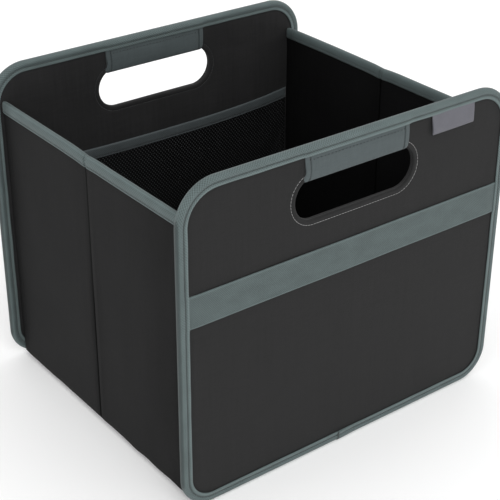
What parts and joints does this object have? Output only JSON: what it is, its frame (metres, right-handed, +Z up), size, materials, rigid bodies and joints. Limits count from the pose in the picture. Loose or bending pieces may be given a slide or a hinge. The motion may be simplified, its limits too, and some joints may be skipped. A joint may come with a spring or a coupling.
{
  "type": "collapsible storage crate",
  "caption": "Open-topped fabric storage crate with stiff face panels, handle slots, creased side walls and a tenting floor, so that it folds flat.",
  "frame": {"origin": "middle of the footprint, on the surface that the crate stands on", "axes": "+X to the right along the face panels, +Y from the front panel to the back panel, +Z up"},
  "size_m": [0.322, 0.272, 0.275],
  "materials": {
    "black_fabric": "closely woven matt black polyester",
    "black_lining": "matt black woven lining",
    "stiffener_board": "smooth grey board",
    "grey_tape": "ribbed grey-green grosgrain tape",
    "grey_wrap": "closely woven grey-green fabric",
    "grey_webbing": "flat ribbed grey-green webbing",
    "dark_tape": "ribbed dark grey tape",
    "grey_label": "satin woven grey label, plain",
    "black_mesh": "fine black knitted mesh"
  },
  "bodies": {
    "front_panel": {"front_outer_fabric": "black_fabric", "front_board": "stiffener_board", "front_lining": "black_lining", "front_edge_binding": "grey_tape", "front_grip_wrap": "grey_wrap", "front_band": "grey_webbing", "label_tab": "grey_label"},
    "back_panel": {"back_outer_fabric": "black_fabric", "back_board": "stiffener_board", "back_lining": "black_lining", "back_edge_binding": "grey_tape", "back_grip_wrap": "grey_wrap", "mesh_pocket": "black_mesh", "mesh_pocket_binding": "dark_tape"},
    "left_front_wall": {"left_front_wall_fabric": "black_fabric", "left_front_wall_board": "stiffener_board", "left_front_wall_lining": "black_lining", "left_front_wall_binding": "grey_tape"},
    "left_rear_wall": {"left_rear_wall_fabric": "black_fabric", "left_rear_wall_board": "stiffener_board", "left_rear_wall_lining": "black_lining", "left_rear_wall_binding": "grey_tape"},
    "right_front_wall": {"right_front_wall_fabric": "black_fabric", "right_front_wall_board": "stiffener_board", "right_front_wall_lining": "black_lining", "right_front_wall_binding": "grey_tape"},
    "right_rear_wall": {"right_rear_wall_fabric": "black_fabric", "right_rear_wall_board": "stiffener_board", "right_rear_wall_lining": "black_lining", "right_rear_wall_binding": "grey_tape"},
    "front_floor": {"front_floor_cover": "black_lining", "front_floor_board": "stiffener_board", "front_base_fabric": "black_fabric", "left_front_floor_gusset": "black_fabric", "right_front_floor_gusset": "black_fabric"},
    "rear_floor": {"rear_floor_cover": "black_lining", "rear_floor_board": "stiffener_board", "rear_base_fabric": "black_fabric", "left_rear_floor_gusset": "black_fabric", "right_rear_floor_gusset": "black_fabric"}
  },
  "joints": [
    {"name": "fold", "type": "hinge", "parent": "front_panel", "child": "left_front_wall", "pos_m": [-0.1459, -0.125, 0.126], "axis": [0, 0, -1], "range_deg": [0, 84]},
    {"name": "left_crease", "type": "hinge", "parent": "left_front_wall", "child": "left_rear_wall", "pos_m": [-0.1517, 0, 0.126], "axis": [0, 0, 1], "range_deg": [0, 168]},
    {"name": "back_left_corner", "type": "hinge", "parent": "left_rear_wall", "child": "back_panel", "pos_m": [-0.1459, 0.125, 0.126], "axis": [0, 0, -1], "range_deg": [0, 84]},
    {"name": "front_right_corner", "type": "hinge", "parent": "front_panel", "child": "right_front_wall", "pos_m": [0.1459, -0.125, 0.126], "axis": [0, 0, 1], "range_deg": [0, 84]},
    {"name": "right_crease", "type": "hinge", "parent": "right_front_wall", "child": "right_rear_wall", "pos_m": [0.1517, 0, 0.126], "axis": [0, 0, -1], "range_deg": [0, 168]},
    {"name": "front_floor_hinge", "type": "hinge", "parent": "front_panel", "child": "front_floor", "pos_m": [0, -0.125, 0.0058], "axis": [1, 0, 0], "range_deg": [0, 81.4], "deforming": ["left_front_floor_gusset", "right_front_floor_gusset"]},
    {"name": "rear_floor_hinge", "type": "hinge", "parent": "back_panel", "child": "rear_floor", "pos_m": [0, 0.125, 0.0058], "axis": [-1, 0, 0], "range_deg": [0, 81.4], "deforming": ["left_rear_floor_gusset", "right_rear_floor_gusset"]}
  ],
  "couplings": [
    {"joint": "left_crease", "follows": "fold", "ratio": 2},
    {"joint": "back_left_corner", "follows": "fold", "ratio": 1},
    {"joint": "front_right_corner", "follows": "fold", "ratio": 1},
    {"joint": "right_crease", "follows": "fold", "ratio": 2},
    {"joint": "front_floor_hinge", "follows": "fold", "ratio": 0.9682},
    {"joint": "rear_floor_hinge", "follows": "fold", "ratio": 0.9682}
  ]
}
